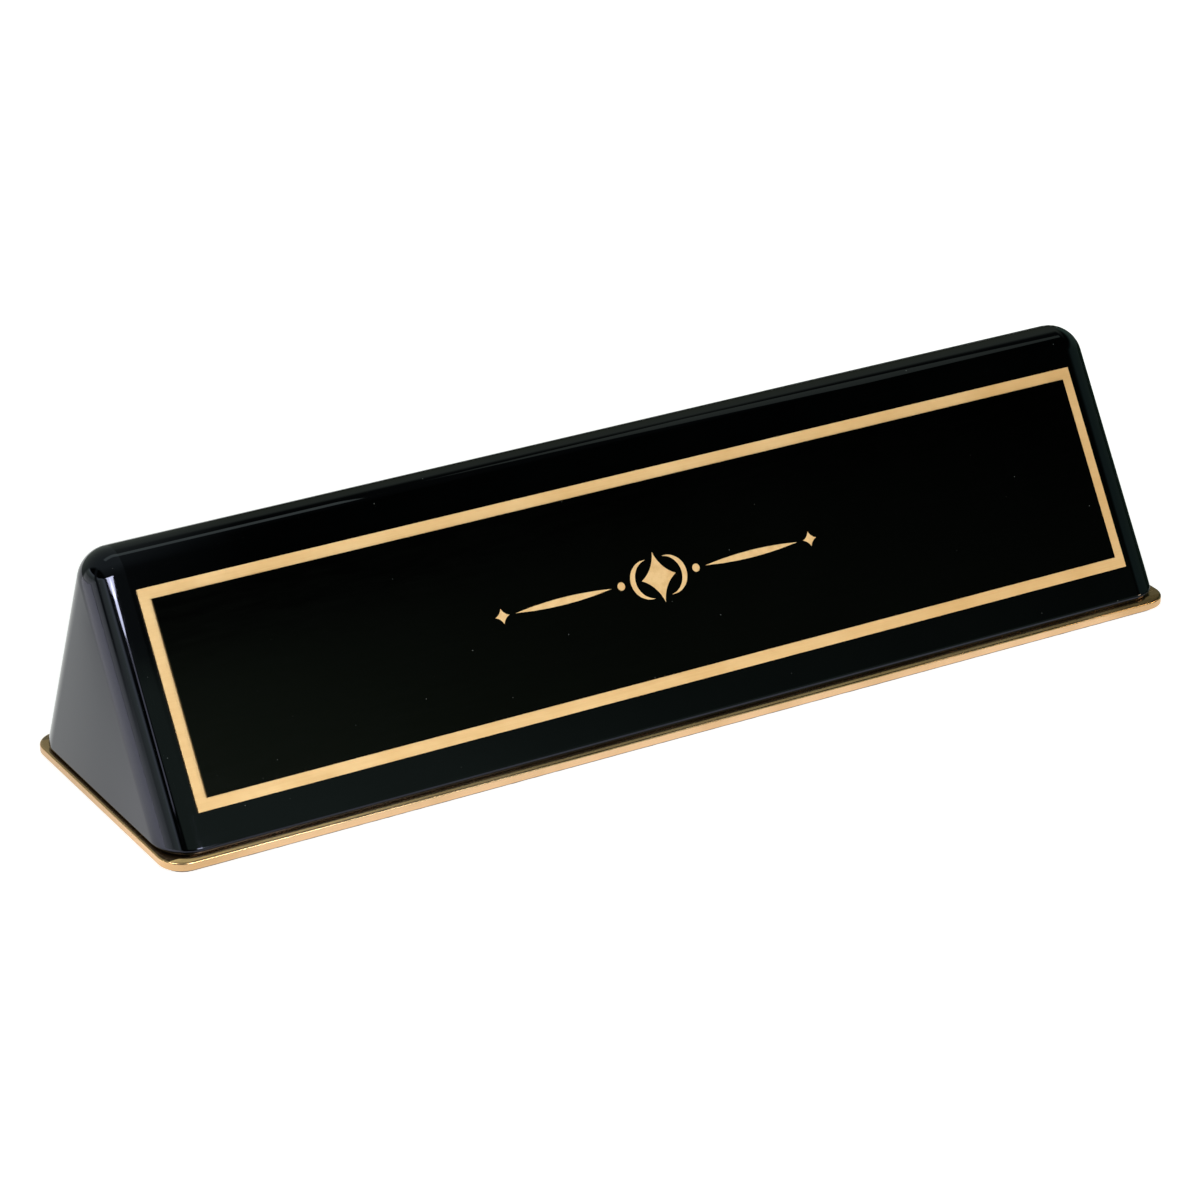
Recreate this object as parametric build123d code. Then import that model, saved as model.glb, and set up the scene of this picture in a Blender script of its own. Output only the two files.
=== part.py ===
from build123d import *
import os
from math import cos, radians, sin, tan

# Desk name plate: a lacquered wedge on a polished base plate, with a bordered plate on its sloping face.
# Lengths in millimetres, angles in degrees. X runs along the length, the sloping face looks towards -Y,
# and the felt stands on z = 0 with its middle at the origin.

# Base plate, polished brass
base_length = 266.7
base_depth = 72.0
base_thickness = 2.0
base_corner_radius = 6.0
base_top_round = 0.5
base_bottom_round = 0.3

# Felt pad under the base plate
felt_thickness = 1.0
felt_inset = 1.5

# Wedge block, lacquered wood: the base plate stands proud of its foot all round
body_inset = 0.75
front_angle = 57.4
rear_angle = 67.0
edge_round = 8.0
foot_round = 1.2

# Wood screws that hold the block on the base plate, heads sunk in the plate's underside
screw_diameter = 3.5
screw_length = 16.0
screw_point_length = 4.0
screw_end_inset = 28.0
screw_edge_inset = 18.0
screw_clearance = 0.05
countersink_land = 0.3
recess_span_share = 0.52
recess_width_share = 0.13
recess_depth_share = 0.7

# Plates and adhesive sheets on the flat of the sloping face
plate_foot_margin = 9.5
plate_ridge_margin = 4.0
plate_end_margin = 1.1
border_plate_thickness = 0.4
border_width = 2.7
name_plate_thickness = 0.4
tape_thickness = 0.1
tape_inset = 0.5

# Engraved ornament: a lozenge between crescents, dots, swelled rules and small end lozenges
engraving_depth = 0.1
lozenge_width = 9.0
lozenge_height = 12.0
lozenge_waist_share = 0.38
crescent_radius = 4.6
crescent_thickness = 1.3
dot_diameter = 1.9
rule_length = 25.0
rule_thickness = 1.7
end_lozenge_width = 3.6
ornament_gap = 1.6

# Levels, from the desk up
base_bottom = felt_thickness
base_top = base_bottom + base_thickness

# Wedge section: a triangle on the base plate
body_length = base_length - 2 * body_inset
body_depth = base_depth - 2 * body_inset
front_slope = radians(front_angle)
rear_slope = radians(rear_angle)
front_foot = -body_depth / 2
apex_run = body_depth * tan(rear_slope) / (tan(front_slope) + tan(rear_slope))
apex_rise = apex_run * tan(front_slope)

# Flat of the sloping face, measured up the slope from the foot to where the ridge begins to round
half_ridge_angle = radians(180 - front_angle - rear_angle) / 2
slope_flat = apex_run / cos(front_slope) - edge_round / tan(half_ridge_angle)
slope = Plane(
    origin=(0, front_foot, base_top),
    x_dir=(1, 0, 0),
    z_dir=(0, -sin(front_slope), cos(front_slope)),
)

# Plate outlines, and their heights above the sloping face
plate_length = body_length - 2 * (edge_round + plate_end_margin)
plate_height = slope_flat - plate_foot_margin - plate_ridge_margin
plate_middle = plate_foot_margin + plate_height / 2
name_length = plate_length - 2 * border_width
name_height = plate_height - 2 * border_width
border_plate_rise = tape_thickness
name_tape_rise = border_plate_rise + border_plate_thickness
name_plate_rise = name_tape_rise + tape_thickness
name_face_rise = name_plate_rise + name_plate_thickness

# Screw sizes that follow from the plate it sinks into
screw_radius = screw_diameter / 2
screw_head_height = base_thickness - countersink_land
screw_head_radius = screw_radius + screw_head_height
screw_grid = GridLocations(base_length - 2 * screw_end_inset, base_depth - 2 * screw_edge_inset, 2, 2)

standing = (Align.CENTER, Align.CENTER, Align.MIN)


def rounded_slab(length, depth, thickness, corner_radius, bottom):
    """A flat slab with rounded corners, standing on the given level."""
    return Pos(0, 0, bottom) * extrude(RectangleRounded(length, depth, corner_radius), thickness)


def screw_form(growth):
    """A countersunk screw pointing up, its head level with the base plate's underside."""
    outline = Polyline(
        (0, base_bottom),
        (screw_head_radius + growth, base_bottom),
        (screw_radius + growth, base_bottom + screw_head_height),
        (screw_radius + growth, base_bottom + screw_length - screw_point_length),
        (0, base_bottom + screw_length),
        close=True,
    )
    return revolve(Plane.XZ * make_face(outline), Axis.Z)


def screw_holes():
    """Countersunk clearance holes and pilot holes, in one set of cutters."""
    return [place * screw_form(screw_clearance) for place in screw_grid]


def base_plate():
    slab = rounded_slab(base_length, base_depth, base_thickness, base_corner_radius, base_bottom)
    slab = fillet(slab.faces().sort_by(Axis.Z)[-1].edges(), base_top_round)
    slab = fillet(slab.faces().sort_by(Axis.Z)[0].edges(), base_bottom_round)
    return slab - screw_holes()


def felt_pad():
    return rounded_slab(
        base_length - 2 * felt_inset,
        base_depth - 2 * felt_inset,
        felt_thickness,
        base_corner_radius - felt_inset,
        0,
    )


def wedge_body():
    section = Polyline(
        (front_foot, base_top),
        (front_foot + body_depth, base_top),
        (front_foot + apex_run, base_top + apex_rise),
        close=True,
    )
    block = extrude(Plane.YZ * make_face(section), body_length / 2, both=True)
    foot_edges = block.faces().sort_by(Axis.Z)[0].edges()
    block = fillet(block.edges() - foot_edges, edge_round)
    block = fillet(block.faces().sort_by(Axis.Z)[0].edges(), foot_round)
    return block - screw_holes()


def base_screws():
    head_width = 2 * screw_head_radius
    recess_span = head_width * recess_span_share
    recess_width = head_width * recess_width_share
    recess_depth = screw_head_height * recess_depth_share
    cross = Box(recess_span, recess_width, recess_depth, align=standing)
    cross += Box(recess_width, recess_span, recess_depth, align=standing)
    screw = screw_form(0) - Pos(0, 0, base_bottom) * cross
    return Compound([place * screw for place in screw_grid])


def slope_sheet(length, height, thickness, rise):
    """A flat sheet lying on the sloping face, the given height above it."""
    return slope * Pos(0, plate_middle, rise) * Box(length, height, thickness, align=standing)


def border_tape():
    return slope_sheet(plate_length - 2 * tape_inset, plate_height - 2 * tape_inset, tape_thickness, 0)


def border_plate():
    return slope_sheet(plate_length, plate_height, border_plate_thickness, border_plate_rise)


def name_tape():
    return slope_sheet(name_length - 2 * tape_inset, name_height - 2 * tape_inset, tape_thickness, name_tape_rise)


def name_plate():
    sheet = slope_sheet(name_length, name_height, name_plate_thickness, name_plate_rise)
    return sheet - engraving_fill()


def hollow_lozenge(width, height, waist_share):
    """A four-pointed lozenge whose sides bow inwards."""
    tips = [(width / 2, 0), (0, height / 2), (-width / 2, 0), (0, -height / 2)]
    sides = []
    for start, end in zip(tips, tips[1:] + tips[:1]):
        waist = ((start[0] + end[0]) * waist_share, (start[1] + end[1]) * waist_share)
        sides.append(ThreePointArc(start, waist, end))
    return make_face(sides)


def swelled_rule(length, thickness):
    """A rule that tapers to a point at both ends."""
    upper = ThreePointArc((-length / 2, 0), (0, thickness / 2), (length / 2, 0))
    lower = ThreePointArc((length / 2, 0), (0, -thickness / 2), (-length / 2, 0))
    return make_face([upper, lower])


def ornament():
    """The ornament's faces, about its own middle, from the large lozenge outwards."""
    crescent_place = lozenge_width / 2 + ornament_gap
    dot_place = crescent_place + crescent_thickness + ornament_gap + dot_diameter / 2
    rule_place = dot_place + dot_diameter / 2 + ornament_gap + rule_length / 2
    end_place = rule_place + rule_length / 2 + ornament_gap + end_lozenge_width / 2
    faces = [hollow_lozenge(lozenge_width, lozenge_height, lozenge_waist_share)]
    for side in (-1, 1):
        outer = Pos(side * (crescent_place + crescent_thickness - crescent_radius), 0) * Circle(crescent_radius)
        inner = Pos(side * (crescent_place - crescent_radius), 0) * Circle(crescent_radius)
        faces.append(outer - inner)
        faces.append(Pos(side * dot_place, 0) * Circle(dot_diameter / 2))
        faces.append(Pos(side * rule_place, 0) * swelled_rule(rule_length, rule_thickness))
        end_lozenge = hollow_lozenge(end_lozenge_width, end_lozenge_width, lozenge_waist_share)
        faces.append(Pos(side * end_place, 0) * end_lozenge)
    return faces


def engraving_fill():
    """Gold fill, level with the name plate's face."""
    seat = slope * Pos(0, plate_middle, name_face_rise)
    return Compound([seat * extrude(face, -engraving_depth) for face in ornament()])


pieces = {
    "wedge_body": wedge_body(),
    "base_plate": base_plate(),
    "base_screws": base_screws(),
    "felt_pad": felt_pad(),
    "border_tape": border_tape(),
    "border_plate": border_plate(),
    "name_tape": name_tape(),
    "name_plate": name_plate(),
    "engraving_fill": engraving_fill(),
}

os.makedirs("parts", exist_ok=True)
for node, shape in pieces.items():
    export_step(shape, f"parts/{node}.step")
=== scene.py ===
from math import cos, pi, radians, sin, sqrt

import bpy
import bmesh
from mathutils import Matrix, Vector, noise


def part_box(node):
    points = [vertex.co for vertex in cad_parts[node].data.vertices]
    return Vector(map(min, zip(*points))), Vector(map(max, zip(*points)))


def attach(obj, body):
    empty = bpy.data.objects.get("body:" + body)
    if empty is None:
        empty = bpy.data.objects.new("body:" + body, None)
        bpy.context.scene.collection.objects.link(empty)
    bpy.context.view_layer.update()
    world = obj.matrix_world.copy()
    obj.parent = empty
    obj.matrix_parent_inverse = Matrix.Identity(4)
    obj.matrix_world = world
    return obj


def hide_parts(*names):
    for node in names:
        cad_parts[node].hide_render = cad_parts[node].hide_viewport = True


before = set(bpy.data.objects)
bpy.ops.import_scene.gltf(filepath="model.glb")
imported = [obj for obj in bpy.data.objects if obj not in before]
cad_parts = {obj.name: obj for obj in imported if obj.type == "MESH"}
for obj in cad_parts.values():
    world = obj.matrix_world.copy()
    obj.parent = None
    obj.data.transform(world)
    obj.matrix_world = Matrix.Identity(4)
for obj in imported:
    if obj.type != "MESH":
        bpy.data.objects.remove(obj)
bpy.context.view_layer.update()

# Base plate: a stamped brass plate under the block, its edges softened, polished and clear coated. Four
# screws hold it to the wood. It stands proud all round, and its long rims fall away to their edges.
# Handling has left hairlines and a faint tarnish. Towards its two ends the brass is also painted darker,
# as painted shade for the shaded floor that those edges mirror.
brass_light = (0.750, 0.492, 0.285, 1.0)
brass_tarnish_and_shade = (0.600, 0.375, 0.190, 1.0)
tarnish_across = 0.018
tarnish_and_shade_range = (0.45, 0.80)
# Painted shade: from here out to the two ends the brass is painted darker
end_shade_from = (0.112, 0.130)
end_shade_depth = 0.45
polish_haze = (0.19, 0.30)
wipe_across = 0.0016
wipe_drawn = (0.08, 1.0, 1.0)
hairline_across = 0.0004
hairline_drawn = (0.02, 1.0, 1.0)
hairline_depth = 0.0000006
rim_starts = (1.0, 0.0330, 1.0)
rim_fall = 0.39
weld_reach = 0.000002
flat_weight = 100


def new_finish(name, **constants):
    """A material with its shader's even values set, and the shader to link the uneven ones to."""
    finish = bpy.data.materials.new(name)
    finish.use_nodes = True
    shader = finish.node_tree.nodes["Principled BSDF"]
    for socket, value in constants.items():
        shader.inputs[socket.replace("_", " ")].default_value = value
    return finish, finish.node_tree, shader


def place_on_piece(tree):
    """Where a spot lies on its piece."""
    return tree.nodes.new("ShaderNodeTexCoord").outputs["Object"]


def axes_of(tree, vector):
    """A vector split into its three axes."""
    axes = tree.nodes.new("ShaderNodeSeparateXYZ")
    tree.links.new(vector, axes.inputs["Vector"])
    return axes.outputs


def number_step(tree, operation, *terms):
    """One step of working with numbers, each of them a socket or an even number."""
    step = tree.nodes.new("ShaderNodeMath")
    step.operation = operation
    for socket, term in zip(step.inputs, terms):
        if isinstance(term, float):
            socket.default_value = term
        else:
            tree.links.new(term, socket)
    return step.outputs["Value"]


def vector_step(tree, operation, first, second=None):
    """One step of vector working, from a socket, with another socket or an even vector."""
    step = tree.nodes.new("ShaderNodeVectorMath")
    step.operation = operation
    tree.links.new(first, step.inputs[0])
    if isinstance(second, tuple):
        step.inputs[1].default_value = second
    elif second is not None:
        tree.links.new(second, step.inputs[1])
    return step


def grain(tree, across, detail=4.0, stretch=(1.0, 1.0, 1.0)):
    """Solid grain about as wide as across, in metres, drawn out along the axes with a small stretch."""
    lay = tree.nodes.new("ShaderNodeMapping")
    lay.inputs["Scale"].default_value = stretch
    field = tree.nodes.new("ShaderNodeTexNoise")
    field.inputs["Scale"].default_value = 1.0 / across
    field.inputs["Detail"].default_value = detail
    tree.links.new(place_on_piece(tree), lay.inputs["Vector"])
    tree.links.new(lay.outputs["Vector"], field.inputs["Vector"])
    return field.outputs["Fac"]


def spread(tree, source, low, high, start=0.3, end=0.7):
    """Spreads a source's range, by default a grain's middle range, over low to high."""
    level = tree.nodes.new("ShaderNodeMapRange")
    level.inputs["From Min"].default_value = start
    level.inputs["From Max"].default_value = end
    level.inputs["To Min"].default_value = low
    level.inputs["To Max"].default_value = high
    tree.links.new(source, level.inputs["Value"])
    return level.outputs["Result"]


def blend_tones(tree, source, first, second, start=0.3, end=0.7):
    """Runs from one colour to another over a source's range, by default a grain's middle range."""
    ramp = tree.nodes.new("ShaderNodeValToRGB")
    ramp.color_ramp.elements[0].position = start
    ramp.color_ramp.elements[0].color = first
    ramp.color_ramp.elements[1].position = end
    ramp.color_ramp.elements[1].color = second
    tree.links.new(source, ramp.inputs["Fac"])
    return ramp.outputs["Color"]


def relief(tree, source, depth, below=None):
    """Surface relief of that depth, in metres, on top of the relief below it."""
    bump = tree.nodes.new("ShaderNodeBump")
    bump.inputs["Strength"].default_value = 1.0
    bump.inputs["Distance"].default_value = depth
    tree.links.new(source, bump.inputs["Height"])
    if below is not None:
        tree.links.new(below, bump.inputs["Normal"])
    return bump.outputs["Normal"]


def turn_normals(tree, lean):
    """The surface's normals, leaned by a small vector."""
    surface = tree.nodes.new("ShaderNodeNewGeometry")
    leaned = vector_step(tree, "ADD", surface.outputs["Normal"], lean)
    return vector_step(tree, "NORMALIZE", leaned.outputs["Vector"]).outputs["Vector"]


def fallen_rims(tree):
    """The plate's normals, leaned outwards on the rims in front of the block and behind it."""
    spot = place_on_piece(tree)
    rim_starts_behind = tuple(-limit for limit in rim_starts)
    within = vector_step(tree, "MINIMUM", spot, rim_starts)
    within = vector_step(tree, "MAXIMUM", within.outputs["Vector"], rim_starts_behind)
    past = vector_step(tree, "SUBTRACT", spot, within.outputs["Vector"])
    outward = vector_step(tree, "NORMALIZE", past.outputs["Vector"])
    lean = vector_step(tree, "SCALE", outward.outputs["Vector"])
    lean.inputs["Scale"].default_value = rim_fall
    return turn_normals(tree, lean.outputs["Vector"])


def painted_end_shade(tree):
    """Painted shade: how much darker the brass is painted, growing towards the plate's two ends."""
    endwards = number_step(tree, "ABSOLUTE", axes_of(tree, place_on_piece(tree))["X"])
    return spread(tree, endwards, 0.0, end_shade_depth, *end_shade_from)


def dress(node, finish):
    """Gives a CAD piece its finish."""
    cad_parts[node].material_slots[0].material = finish


def join_faces(node):
    """Joins a piece's faces along the edges that they share."""
    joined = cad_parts[node].modifiers.new("joined_faces", "WELD")
    joined.merge_threshold = weld_reach


def blend_roundings(node):
    """Lets the light run on without a seam where a rounding meets a flat."""
    join_faces(node)
    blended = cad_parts[node].modifiers.new("blended_roundings", "WEIGHTED_NORMAL")
    blended.weight = flat_weight


polished_brass, tree, shader = new_finish("polished_brass", Metallic=1.0)
# Random tarnish, plus painted shade that darkens the brass towards the two ends
tarnish_and_end_shade = number_step(tree, "ADD", grain(tree, tarnish_across, detail=6.0), painted_end_shade(tree))
tone = blend_tones(tree, tarnish_and_end_shade, brass_light, brass_tarnish_and_shade, *tarnish_and_shade_range)
tree.links.new(tone, shader.inputs["Base Color"])
wiped = grain(tree, wipe_across, detail=5.0, stretch=wipe_drawn)
tree.links.new(spread(tree, wiped, *polish_haze), shader.inputs["Roughness"])
hairlines = grain(tree, hairline_across, detail=3.0, stretch=hairline_drawn)
tree.links.new(relief(tree, hairlines, hairline_depth, fallen_rims(tree)), shader.inputs["Normal"])
dress("base_plate", polished_brass)
blend_roundings("base_plate")

# Block: a wedge of hardwood board under many coats of black polyester lacquer, sanded and buffed
# to a mirror, with all upper edges rounded. The lacquer is all that shows of it. Buffing leaves the
# ends a little crowned, a slight orange peel and haze, and some dust and lint have settled on it.
lacquer_deep = (0.0002, 0.0003, 0.0003, 1.0)
lacquer_worn = (0.0006, 0.0008, 0.0008, 1.0)
lacquer_mirror = (0.70, 0.73, 1.00, 1.0)
lacquer_haze = (0.018, 0.050)
wear_across = 0.030
buff_across = 0.004
buff_drawn = (0.3, 1.0, 1.0)
peel_across = 0.0055
peel_depth = 0.0000022
end_bow = (-0.085, 0.015)
end_front = (0.6395, -0.0277)
end_rear = (-0.4245, 0.0278)
end_facing = (0.90, 1.00)
end_peak = (0.044, 0.052)
dust_tone = (0.16, 0.17, 0.17, 1.0)
dust_apart = 0.0035
dust_share = 0.045
lint_apart = 0.0110
lint_share = 0.018
lint_drawn = 6.0
lint_turn = radians(35)
speck_core_share = 0.4
dusty_cells = (0.60, 1.00)


def lay_over(tree, mask, below, above):
    """One colour, with another or one even tone over it where the mask is 1."""
    mix = tree.nodes.new("ShaderNodeMix")
    mix.data_type = "RGBA"
    # Sockets 6 and 7 take the two colours, and socket 2 gives the mixed one
    tree.links.new(mask, mix.inputs["Factor"])
    tree.links.new(below, mix.inputs[6])
    if isinstance(above, tuple):
        mix.inputs[7].default_value = above
    else:
        tree.links.new(above, mix.inputs[7])
    return mix.outputs[2]


def times(tree, first, second):
    """Two masks multiplied."""
    return number_step(tree, "MULTIPLY", first, second)


def specks(tree, apart, size_share, place, drawn=1.0, turn=0.0):
    """A mask of specks, round or drawn out, sized as a share of their spacing, and paler in some cells."""
    lay = tree.nodes.new("ShaderNodeMapping")
    lay.vector_type = "TEXTURE"
    lay.inputs["Location"].default_value = place
    lay.inputs["Rotation"].default_value = (0.0, turn, 0.0)
    lay.inputs["Scale"].default_value = (drawn, 1.0, 1.0)
    cells = tree.nodes.new("ShaderNodeTexVoronoi")
    cells.inputs["Scale"].default_value = 1.0 / apart
    tree.links.new(place_on_piece(tree), lay.inputs["Vector"])
    tree.links.new(lay.outputs["Vector"], cells.inputs["Vector"])
    split = tree.nodes.new("ShaderNodeSeparateColor")
    tree.links.new(cells.outputs["Color"], split.inputs["Color"])
    core_share = speck_core_share * size_share
    near = spread(tree, cells.outputs["Distance"], 1.0, 0.0, core_share, size_share)
    chosen = spread(tree, split.outputs["Red"], 0.0, 1.0, *dusty_cells)
    return times(tree, near, chosen)


def dust(tree, place=(0.0, 0.0, 0.0)):
    """A mask of settled dust: scattered specks, and here and there a short fibre."""
    grit = specks(tree, dust_apart, dust_share, place)
    lint = specks(tree, lint_apart, lint_share, place, lint_drawn, lint_turn)
    return number_step(tree, "MAXIMUM", grit, lint)


def crowned_ends(tree):
    """The block's normals, turned outwards at the ends towards their front and rear edges."""
    place = axes_of(tree, place_on_piece(tree))
    across = tree.nodes.new("ShaderNodeMapRange")
    across.inputs["To Min"].default_value = end_bow[0]
    across.inputs["To Max"].default_value = end_bow[1]
    tree.links.new(place["Y"], across.inputs["Value"])
    for limit, (lean, start) in (("From Min", end_front), ("From Max", end_rear)):
        edge = number_step(tree, "MULTIPLY_ADD", place["Z"], lean, start)
        tree.links.new(edge, across.inputs[limit])
    surface = tree.nodes.new("ShaderNodeNewGeometry")
    endwise = number_step(tree, "ABSOLUTE", axes_of(tree, surface.outputs["Normal"])["X"])
    on_end = spread(tree, endwise, 0.0, 1.0, *end_facing)
    below_peak = spread(tree, place["Z"], 1.0, 0.0, *end_peak)
    bow = tree.nodes.new("ShaderNodeCombineXYZ")
    turned = times(tree, across.outputs["Result"], times(tree, on_end, below_peak))
    tree.links.new(turned, bow.inputs["Y"])
    return turn_normals(tree, bow.outputs["Vector"])


black_lacquer, tree, shader = new_finish("black_lacquer", IOR=1.44, Specular_Tint=lacquer_mirror)
tone = blend_tones(tree, grain(tree, wear_across), lacquer_deep, lacquer_worn)
tree.links.new(lay_over(tree, dust(tree), tone, dust_tone), shader.inputs["Base Color"])
buffed = grain(tree, buff_across, detail=8.0, stretch=buff_drawn)
tree.links.new(spread(tree, buffed, *lacquer_haze), shader.inputs["Roughness"])
peel = relief(tree, grain(tree, peel_across, detail=1.0), peel_depth, crowned_ends(tree))
tree.links.new(peel, shader.inputs["Normal"])
dress("wedge_body", black_lacquer)
blend_roundings("wedge_body")

# Screws: four zinc plated wood screws with cross recesses, turned up through the base plate
# into the block, heads level with the plate's underside and hidden by the felt.
zinc_light = (0.62, 0.61, 0.58, 1.0)
zinc_dull = (0.40, 0.40, 0.39, 1.0)
zinc_haze = (0.26, 0.48)
spangle_across = 0.0012
zinc_haze_across = 0.0005
zinc_pit_across = 0.0003
zinc_pit_depth = 0.000004

zinc_plate, tree, shader = new_finish("zinc_plate", Metallic=1.0)
spangle = grain(tree, spangle_across, detail=5.0)
tree.links.new(blend_tones(tree, spangle, zinc_light, zinc_dull), shader.inputs["Base Color"])
tree.links.new(spread(tree, grain(tree, zinc_haze_across), *zinc_haze), shader.inputs["Roughness"])
tree.links.new(relief(tree, grain(tree, zinc_pit_across), zinc_pit_depth), shader.inputs["Normal"])
dress("base_screws", zinc_plate)

# Felt pad: pressed wool felt, die cut and glued under the base plate, over the screw heads.
# Its underside is fleecy and slightly uneven, and its cut edge is a little ragged.
felt_low, felt_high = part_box("felt_pad")
felt_length = felt_high.x - felt_low.x
felt_depth = felt_high.y - felt_low.y
felt_thickness = felt_high.z - felt_low.z
felt_corner = 0.0045
felt_corner_turns = 6
felt_step = 0.0015
felt_nap = 0.00006
felt_nap_pitch = 700.0
felt_rag = 0.00012
felt_rag_pitch = 900.0
felt_edge_angle = radians(40)
glue_gap = 0.00001
felt_dark = (0.010, 0.010, 0.011, 1.0)
felt_pale = (0.034, 0.034, 0.036, 1.0)
fibre_across = 0.0007
fibre_drawn = (0.35, 1.0, 1.0)
crossed_across = 0.0005
crossed_drawn = (1.0, 0.3, 1.0)
fleece_depth = 0.00012


def felt_stations():
    """Places along the length: even steps between the corners, and steps of even angle round them."""
    straight = felt_length / 2 - felt_corner
    steps = round(2 * straight / felt_step)
    turns = felt_corner_turns
    middle = [-straight + 2 * straight * step / steps for step in range(steps + 1)]
    round_end = [straight + felt_corner * sin(pi / 2 * turn / turns) for turn in range(1, turns + 1)]
    return [-place for place in reversed(round_end)] + middle + round_end


def felt_half_depth(along):
    """Half of the felt's depth at a place along its length."""
    past = max(0.0, abs(along) - (felt_length / 2 - felt_corner))
    return felt_depth / 2 - felt_corner + sqrt(max(0.0, felt_corner ** 2 - past ** 2))


def make_felt():
    """The pad as a closed sheet: a grid above, a fleecy grid below, and a wall between."""
    stations = felt_stations()
    rows = round(felt_depth / felt_step)
    cloth = bmesh.new()
    layers = []
    for level in (felt_thickness - glue_gap, 0.0):
        layer = []
        for along in stations:
            half = felt_half_depth(along)
            line = []
            for row in range(rows + 1):
                line.append(cloth.verts.new((along, half * (2 * row / rows - 1), level)))
            layer.append(line)
        layers.append(layer)
    upper, lower = layers
    for low_line, high_line in zip(range(len(stations) - 1), range(1, len(stations))):
        for row in range(rows):
            cloth.faces.new((upper[low_line][row], upper[high_line][row],
                             upper[high_line][row + 1], upper[low_line][row + 1]))
            cloth.faces.new((lower[low_line][row], lower[low_line][row + 1],
                             lower[high_line][row + 1], lower[high_line][row]))
        for row in (0, rows):
            cloth.faces.new((upper[low_line][row], lower[low_line][row],
                             lower[high_line][row], upper[high_line][row]))
    for line in (0, len(stations) - 1):
        for row in range(rows):
            cloth.faces.new((upper[line][row], upper[line][row + 1],
                             lower[line][row + 1], lower[line][row]))
    bmesh.ops.recalc_face_normals(cloth, faces=cloth.faces)
    for line in lower:
        for corner in line:
            corner.co.z += felt_nap * (1.0 + noise.noise(corner.co * felt_nap_pitch))
    rim = [line[row] for layer in layers for line in layer for row in (0, rows)]
    rim += [corner for layer in layers for line in (layer[0], layer[-1]) for corner in line[1:-1]]
    for corner in rim:
        rag = felt_rag * (0.5 + 0.5 * noise.noise(corner.co * felt_rag_pitch))
        corner.co.x -= rag * (1 if corner.co.x > 0 else -1)
        corner.co.y -= rag * (1 if corner.co.y > 0 else -1)
    mesh = bpy.data.meshes.new("felt")
    cloth.to_mesh(mesh)
    cloth.free()
    mesh.shade_smooth()
    mesh.set_sharp_from_angle(angle=felt_edge_angle)
    pad = bpy.data.objects.new("felt", mesh)
    bpy.context.scene.collection.objects.link(pad)
    return pad


pressed_felt, tree, shader = new_finish("pressed_felt", Roughness=1.0,
                                        Sheen_Weight=0.35, Sheen_Roughness=0.6)
fibres = grain(tree, fibre_across, detail=8.0, stretch=fibre_drawn)
tree.links.new(blend_tones(tree, fibres, felt_dark, felt_pale), shader.inputs["Base Color"])
crossed = grain(tree, crossed_across, detail=8.0, stretch=crossed_drawn)
nap = relief(tree, crossed, fleece_depth, relief(tree, fibres, fleece_depth))
tree.links.new(nap, shader.inputs["Normal"])

felt = make_felt()
felt.data.materials.append(pressed_felt)
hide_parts("felt_pad")
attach(felt, "root")

# Adhesive sheets: double-sided tape, one under each plate, cut a little smaller than the plate.
# Only their pale edges can be found, in the gap under a plate's rim.
tape_clear = (0.80, 0.77, 0.68, 1.0)
tape_yellowed = (0.66, 0.60, 0.46, 1.0)
tape_age_across = 0.006
tape_ripple_across = 0.0008
tape_ripple_depth = 0.00001

tape_film, tree, shader = new_finish("tape_film", Roughness=0.55, IOR=1.47)
age = grain(tree, tape_age_across, detail=5.0)
tree.links.new(blend_tones(tree, age, tape_clear, tape_yellowed), shader.inputs["Base Color"])
tree.links.new(relief(tree, grain(tree, tape_ripple_across), tape_ripple_depth), shader.inputs["Normal"])
for sheet in ("border_tape", "name_tape"):
    dress(sheet, tape_film)

# Border plate: a sheared brass sheet stuck on the sloping face, whose bare rim is the gold border.
# It is brushed along its length to a fine satin, and its sheared edges are just broken.
rim_light = (0.800, 0.568, 0.305, 1.0)
rim_deep = (0.735, 0.490, 0.235, 1.0)
rim_cloud_across = 0.012
rim_haze = (0.54, 0.66)
brush_across = 0.00022
brush_drawn = (0.02, 1.0, 1.0)
brush_depth = 0.0000016
edge_break = 0.00006
edge_break_steps = 2
edge_break_angle = radians(40)


def break_edges(node):
    """Takes the sharpness off a sheared sheet's edges."""
    join_faces(node)
    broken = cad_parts[node].modifiers.new("broken_edges", "BEVEL")
    broken.width = edge_break
    broken.segments = edge_break_steps
    broken.limit_method = "ANGLE"
    broken.angle_limit = edge_break_angle
    broken.harden_normals = True


satin_brass, tree, shader = new_finish("satin_brass", Metallic=1.0)
brushed = grain(tree, brush_across, stretch=brush_drawn)
clouded = grain(tree, rim_cloud_across, detail=6.0)
tree.links.new(blend_tones(tree, clouded, rim_light, rim_deep), shader.inputs["Base Color"])
tree.links.new(spread(tree, brushed, *rim_haze), shader.inputs["Roughness"])
tree.links.new(relief(tree, brushed, brush_depth), shader.inputs["Normal"])
dress("border_plate", satin_brass)
break_edges("border_plate")

# Name plate: a smaller brass sheet with a black coat, stuck on the border plate and engraved.
# The coat is smooth but not buffed like the lacquer, so it shows a slight haze and fine rubs.
coat_deep = (0.0001, 0.0001, 0.0001, 1.0)
coat_worn = (0.0005, 0.0006, 0.0006, 1.0)
coat_wear_across = 0.040
coat_haze = (0.050, 0.090)
rub_across = 0.0015
rub_drawn = (0.15, 1.0, 1.0)
coat_ripple_across = 0.0030
coat_ripple_depth = 0.0000015
coat_dust_place = (0.3, 0.1, 0.2)

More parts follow.
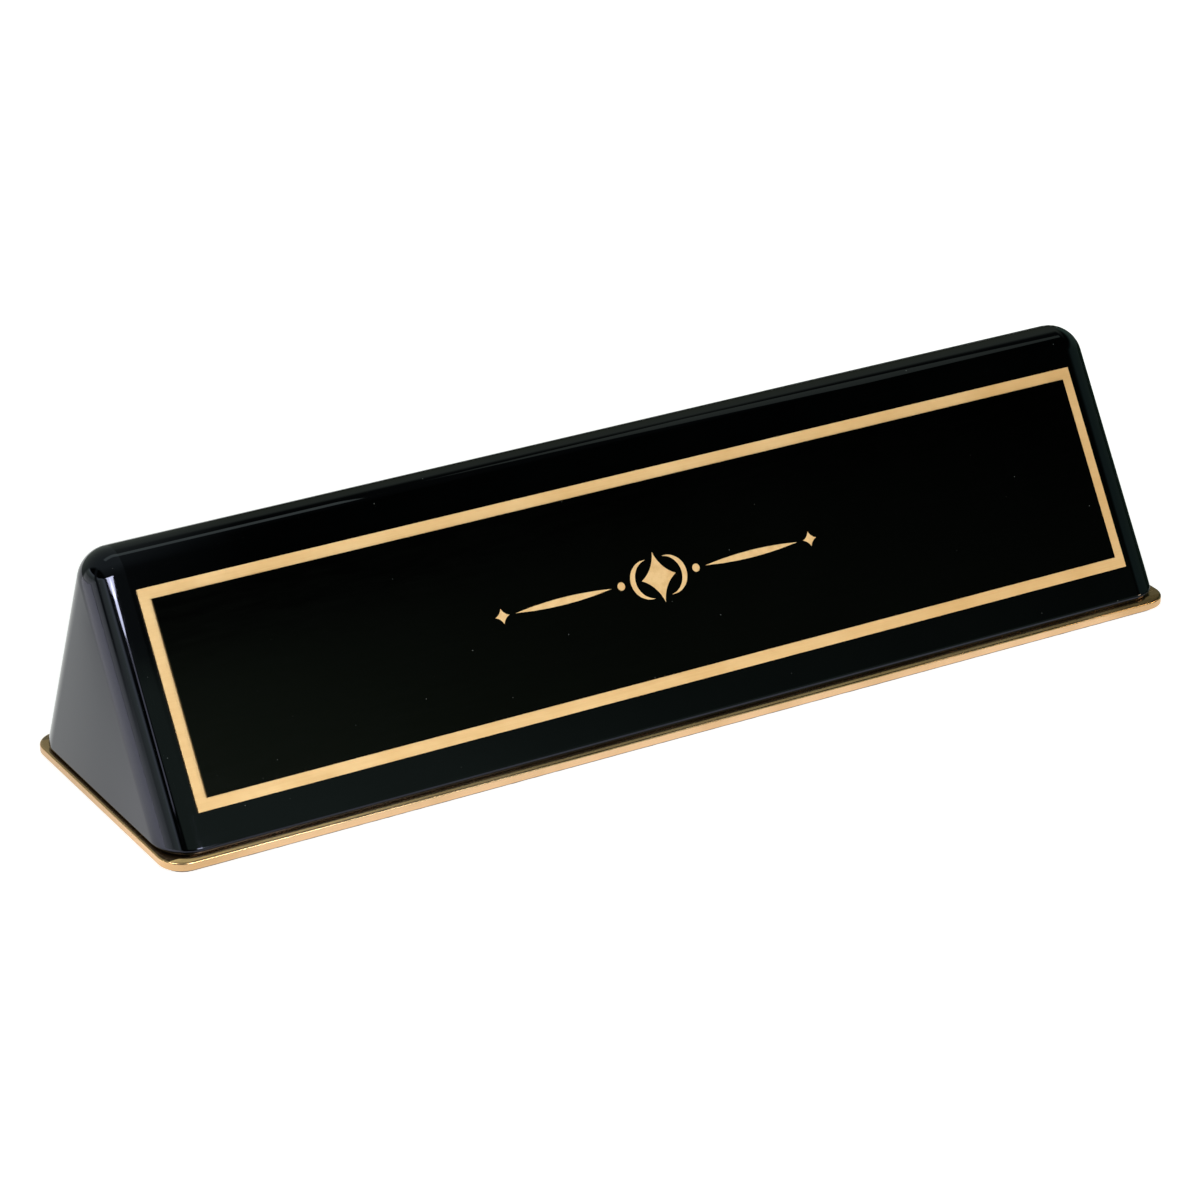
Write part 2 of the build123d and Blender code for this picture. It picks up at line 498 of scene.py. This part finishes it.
black_coat, tree, shader = new_finish("black_coat", IOR=1.40, Specular_IOR_Level=0.28)
tone = blend_tones(tree, grain(tree, coat_wear_across, detail=5.0), coat_deep, coat_worn)
tree.links.new(lay_over(tree, dust(tree, coat_dust_place), tone, dust_tone), shader.inputs["Base Color"])
rubbed = grain(tree, rub_across, detail=8.0, stretch=rub_drawn)
tree.links.new(spread(tree, rubbed, *coat_haze), shader.inputs["Roughness"])
ripple = grain(tree, coat_ripple_across, detail=2.0)
tree.links.new(relief(tree, ripple, coat_ripple_depth), shader.inputs["Normal"])
dress("name_plate", black_coat)

# Engraved ornament: cut through the coat and filled level with gold size and leaf, then wiped.
# The leaf has a fine grain and is a little uneven from cut to cut.
leaf_light = (0.800, 0.568, 0.305, 1.0)
leaf_deep = (0.680, 0.440, 0.205, 1.0)
leaf_patch_across = 0.0022
leaf_range = (0.42, 0.78)
leaf_haze = (0.52, 0.66)
leaf_grain_across = 0.00025
leaf_grain_depth = 0.000006

gold_leaf, tree, shader = new_finish("gold_leaf", Metallic=1.0)
laid_on = grain(tree, leaf_patch_across, detail=8.0)
tree.links.new(blend_tones(tree, laid_on, leaf_light, leaf_deep, *leaf_range), shader.inputs["Base Color"])
fine = grain(tree, leaf_grain_across, detail=5.0)
tree.links.new(spread(tree, fine, *leaf_haze), shader.inputs["Roughness"])
tree.links.new(relief(tree, fine, leaf_grain_depth), shader.inputs["Normal"])
dress("engraving_fill", gold_leaf)

# Floor: plain white card under the object, large enough to fill every view.
# Part of its white shows by itself to the eye and in reflections, less so close to the object, and
# the rest comes from the lamps, so that the object's shadow stays on it.
floor_reach = 6.0
floor_drop = 0.00005
floor_white = (0.60, 0.60, 0.60, 1.0)
glow_white = (1.0, 1.0, 1.0, 1.0)
glow_near = 0.80
glow_far = 0.96
glow_starts = 0.15
glow_ends = 0.50

bpy.ops.mesh.primitive_plane_add(size=2 * floor_reach, location=(0.0, 0.0, -floor_drop))
floor = bpy.context.object
floor.name = "floor"
white_card, tree, shader = new_finish("white_card", Base_Color=floor_white, Roughness=0.9,
                                      Specular_IOR_Level=0.0, Emission_Color=glow_white)
path = tree.nodes.new("ShaderNodeLightPath")
seen = path.outputs["Is Camera Ray"]
for also in ("Is Glossy Ray", "Is Transmission Ray"):
    seen = number_step(tree, "MAXIMUM", seen, path.outputs[also])
away = vector_step(tree, "LENGTH", place_on_piece(tree)).outputs["Value"]
glow = spread(tree, away, glow_near, glow_far, glow_starts, glow_ends)
tree.links.new(times(tree, seen, glow), shader.inputs["Emission Strength"])
floor.data.materials.append(white_card)

# Dark cloth: a dark sheet on the floor to the right, hidden from the camera and from diffuse light, and
# seen only in reflections.
# It paints a dark reflection on the block's right edge in place of white floor. It casts no shadow.
painted_reflection_tone = (0.042, 0.074, 0.062, 1.0)
cloth_left, cloth_right = 0.142, 5.5
cloth_front, cloth_back = -0.30, 2.5

bpy.ops.mesh.primitive_plane_add(size=1.0)
cloth = bpy.context.object
cloth.name = "painted_reflection_cloth"
cloth.location = ((cloth_left + cloth_right) / 2, (cloth_front + cloth_back) / 2, 0.0)
cloth.scale = (cloth_right - cloth_left, cloth_back - cloth_front, 1.0)
painted_reflection_cloth, tree, shader = new_finish("painted_reflection_cloth", Base_Color=painted_reflection_tone, Roughness=1.0,
                                      Specular_IOR_Level=0.0)
cloth.data.materials.append(painted_reflection_cloth)
# Seen only in reflections: a painted dark reflection
cloth.visible_camera = False
cloth.visible_diffuse = False
cloth.visible_shadow = False

# Room: dim walls behind the object, a dark room in front of it with one dim patch, which is what the
# polished sloping face mirrors, and a pale ceiling at the left. The wall to the left is bright below,
# fades upwards and has a dim doorway, and the wall to the right is dim.
room_dark = (0.002, 0.0025, 0.0025, 1.0)
room_patch = (0.28, 0.38, 0.26, 1.0)
room_ceiling = (0.34, 0.40, 0.35, 1.0)
face_lean = radians(57.4)
patch_across = [
    (-0.40, 0.00),
    (-0.33, 1.00),
    (0.44, 1.00),
    (0.475, 0.75),
    (0.50, 0.50),
    (0.53, 0.33),
    (0.60, 0.15),
    (0.66, 0.00),
]
patch_shear = 1.5
patch_top = (0.068, 0.077)
ceiling_edge = (0.345, 0.395)
ceiling_rise = [(0.068, 0.0), (0.078, 0.3), (0.30, 0.4), (0.70, 1.0)]
back_edge_of_room = (-0.05, 0.10)
back_tones = [
    (0.00, (0.016, 0.019, 0.015, 1.0)),
    (0.15, (0.050, 0.060, 0.046, 1.0)),
    (0.42, (0.128, 0.152, 0.120, 1.0)),
    (0.66, (0.225, 0.268, 0.212, 1.0)),
    (0.75, (0.024, 0.028, 0.027, 1.0)),
]
left_edge_of_room = (-0.74, -0.66)
left_tones = [
    (0.000, (2.25, 2.26, 2.00, 1.0)),
    (0.070, (1.85, 1.90, 1.66, 1.0)),
    (0.138, (1.40, 1.47, 1.27, 1.0)),
    (0.200, (1.22, 1.31, 1.10, 1.0)),
    (0.240, (0.66, 0.74, 0.61, 1.0)),
    (0.300, (0.78, 0.90, 0.73, 1.0)),
    (0.360, (0.92, 1.10, 0.85, 1.0)),
    (0.405, (1.38, 1.56, 1.46, 1.0)),
    (0.425, (1.00, 1.14, 1.06, 1.0)),
    (0.445, (0.13, 0.14, 0.14, 1.0)),
    (0.460, (0.004, 0.005, 0.005, 1.0)),
]
doorway_tone = (0.12, 0.14, 0.13, 1.0)
doorway_across = [(0.12, 0.0), (0.20, 1.0), (0.26, 1.0), (0.34, 0.0)]
doorway_rise = (0.050, 0.081)
doorway_lean = radians(32.5)
right_edge_of_room = (0.62, 0.76)
right_tones = [
    (0.00, (0.065, 0.110, 0.090, 1.0)),
    (0.20, (0.100, 0.172, 0.140, 1.0)),
    (0.37, (0.136, 0.232, 0.186, 1.0)),
    (0.50, (0.026, 0.040, 0.034, 1.0)),
    (0.56, (0.004, 0.005, 0.005, 1.0)),
]


def banded(tree, source, bands):
    """Runs through a list of tones at their places."""
    ramp = tree.nodes.new("ShaderNodeValToRGB")
    stops = ramp.color_ramp.elements
    while len(stops) < len(bands):
        stops.new(1.0)
    for stop, (place, tone) in zip(stops, bands):
        stop.position = place
        stop.color = tone
    tree.links.new(source, ramp.inputs["Fac"])
    return ramp.outputs["Color"]


def stepped(tree, source, steps):
    """Runs through a list of levels at their places between -1 and 1."""
    share = spread(tree, source, 0.0, 1.0, -1.0, 1.0)
    return banded(tree, share, [((place + 1.0) / 2, (level, level, level, 1.0)) for place, level in steps])


def reach(tree, toward, axis):
    """How far a direction goes along an axis."""
    return vector_step(tree, "DOT_PRODUCT", toward, axis).outputs["Value"]


room = bpy.data.worlds.new("room")
room.use_nodes = True
bpy.context.scene.world = room
tree = room.node_tree
toward = tree.nodes.new("ShaderNodeTexCoord").outputs["Generated"]
sides = axes_of(tree, toward)
along, depth, height = [sides[axis] for axis in "XYZ"]

up_slope = reach(tree, toward, (0.0, cos(face_lean), sin(face_lean)))
sheared = reach(tree, toward, (1.0, patch_shear * cos(face_lean), patch_shear * sin(face_lean)))
below_patch_top = spread(tree, up_slope, 1.0, 0.0, *patch_top)
patch = times(tree, stepped(tree, sheared, patch_across), below_patch_top)
walls = blend_tones(tree, patch, room_dark, room_patch, 0.0, 1.0)

at_back = spread(tree, depth, 0.0, 1.0, *back_edge_of_room)
walls = lay_over(tree, at_back, walls, banded(tree, height, back_tones))

left_of_edge = spread(tree, along, 1.0, 0.0, *ceiling_edge)
overhead = times(tree, stepped(tree, up_slope, ceiling_rise), left_of_edge)
walls = lay_over(tree, overhead, walls, room_ceiling)

past_doorway = reach(tree, toward, (0.0, -cos(doorway_lean), sin(doorway_lean)))
up_doorway = reach(tree, toward, (0.0, sin(doorway_lean), cos(doorway_lean)))
above_sill = spread(tree, up_doorway, 0.0, 1.0, *doorway_rise)
doorway = times(tree, stepped(tree, past_doorway, doorway_across), above_sill)
left_wall = lay_over(tree, doorway, banded(tree, height, left_tones), doorway_tone)
at_left = spread(tree, along, 1.0, 0.0, *left_edge_of_room)
walls = lay_over(tree, at_left, walls, left_wall)

at_right = spread(tree, along, 0.0, 1.0, *right_edge_of_room)
walls = lay_over(tree, at_right, walls, banded(tree, height, right_tones))
tree.links.new(walls, tree.nodes["Background"].inputs["Color"])

# Lamps: a soft box by the camera with a neck and a dim skirt, which draws the streak on the left edge, two
# keys for the brass, low enough to stay out of the rounded edges, a wide box close over the floor to the
# left, for what the left end mirrors, and two strips overhead, which draw the line along the ridge.
lamp_target = Vector((0.0, -0.02, 0.03))
left_edge = Vector((-0.1283, -0.0022, 0.0531))
box_roll = radians(20.2)
floor_box_under = Vector((-1.138, -0.018, 0.0))
floor_box_height = Vector((0.0, 0.0, 0.11))
white_light = (1.0, 1.0, 1.0)
wide_beam = pi


def soft_lamp(name, place, width, height, power, colour=white_light, target=lamp_target, roll=0.0,
              shape="RECTANGLE", beam=wide_beam):
    """A soft lamp at a place, facing its target."""
    light = bpy.data.lights.new(name, "AREA")
    light.shape = shape
    light.size = width
    light.size_y = height
    light.energy = power
    light.color = colour
    light.spread = beam
    lamp = bpy.data.objects.new(name, light)
    lamp.location = place
    facing = (target - lamp.location).to_track_quat("-Z", "Y").to_euler()
    facing.rotate_axis("Z", roll)
    lamp.rotation_euler = facing
    lamp.visible_camera = False
    bpy.context.scene.collection.objects.link(lamp)


soft_lamp("camera_box", (-0.5491, -0.5128, 0.4975), width=0.38, height=0.060, power=1.45,
          target=left_edge, roll=box_roll, shape="ELLIPSE")
soft_lamp("box_neck", (-0.5507, -0.5330, 0.4705), width=0.11, height=0.024, power=0.170,
          target=left_edge, roll=box_roll, shape="ELLIPSE")
soft_lamp("box_skirt", (-0.5530, -0.5615, 0.4325), width=0.060, height=0.074, power=0.0280,
          target=left_edge, roll=box_roll)
soft_lamp("front_key", (0.12, -0.95, 0.43), width=0.30, height=0.30, power=4.2,
          colour=(0.95, 0.98, 1.00))
soft_lamp("right_key", (0.84, -0.70, 0.26), width=0.16, height=0.16, power=1.4,
          colour=(1.00, 0.70, 0.38))
soft_lamp("floor_box", floor_box_under + floor_box_height, width=1.60, height=1.20, power=14.9,
          colour=(0.90, 0.87, 0.85), target=floor_box_under, roll=radians(36.5), beam=radians(30))
soft_lamp("ridge_strip_near", (-0.02, 0.235, 0.90), width=0.72, height=0.15, power=0.33,
          colour=(0.83, 0.97, 0.78))
soft_lamp("ridge_strip_far", (0.57, 0.235, 0.90), width=0.46, height=0.15, power=0.098,
          colour=(0.81, 0.96, 0.72))

# Camera: level, at the photograph's angle, from the front left and a little above.
# Its lens is long, and nothing is out of focus.
camera_azimuth = radians(30.688)
camera_elevation = radians(25.301)
camera_distance = 1.035084
camera_aim = Vector((-0.013054, -0.013279, 0.028240))
camera_lens = 136.562
camera_sensor = 36.0

view = bpy.data.cameras.new("camera")
view.sensor_width = camera_sensor
view.lens = camera_lens
view.dof.use_dof = False
camera = bpy.data.objects.new("camera", view)
sight = Vector((sin(camera_azimuth) * cos(camera_elevation),
                cos(camera_azimuth) * cos(camera_elevation),
                -sin(camera_elevation)))
camera.location = camera_aim - camera_distance * sight
camera.rotation_euler = sight.to_track_quat("-Z", "Y").to_euler()
bpy.context.scene.collection.objects.link(camera)
bpy.context.scene.camera = camera
bpy.context.scene.view_settings.view_transform = "Standard"
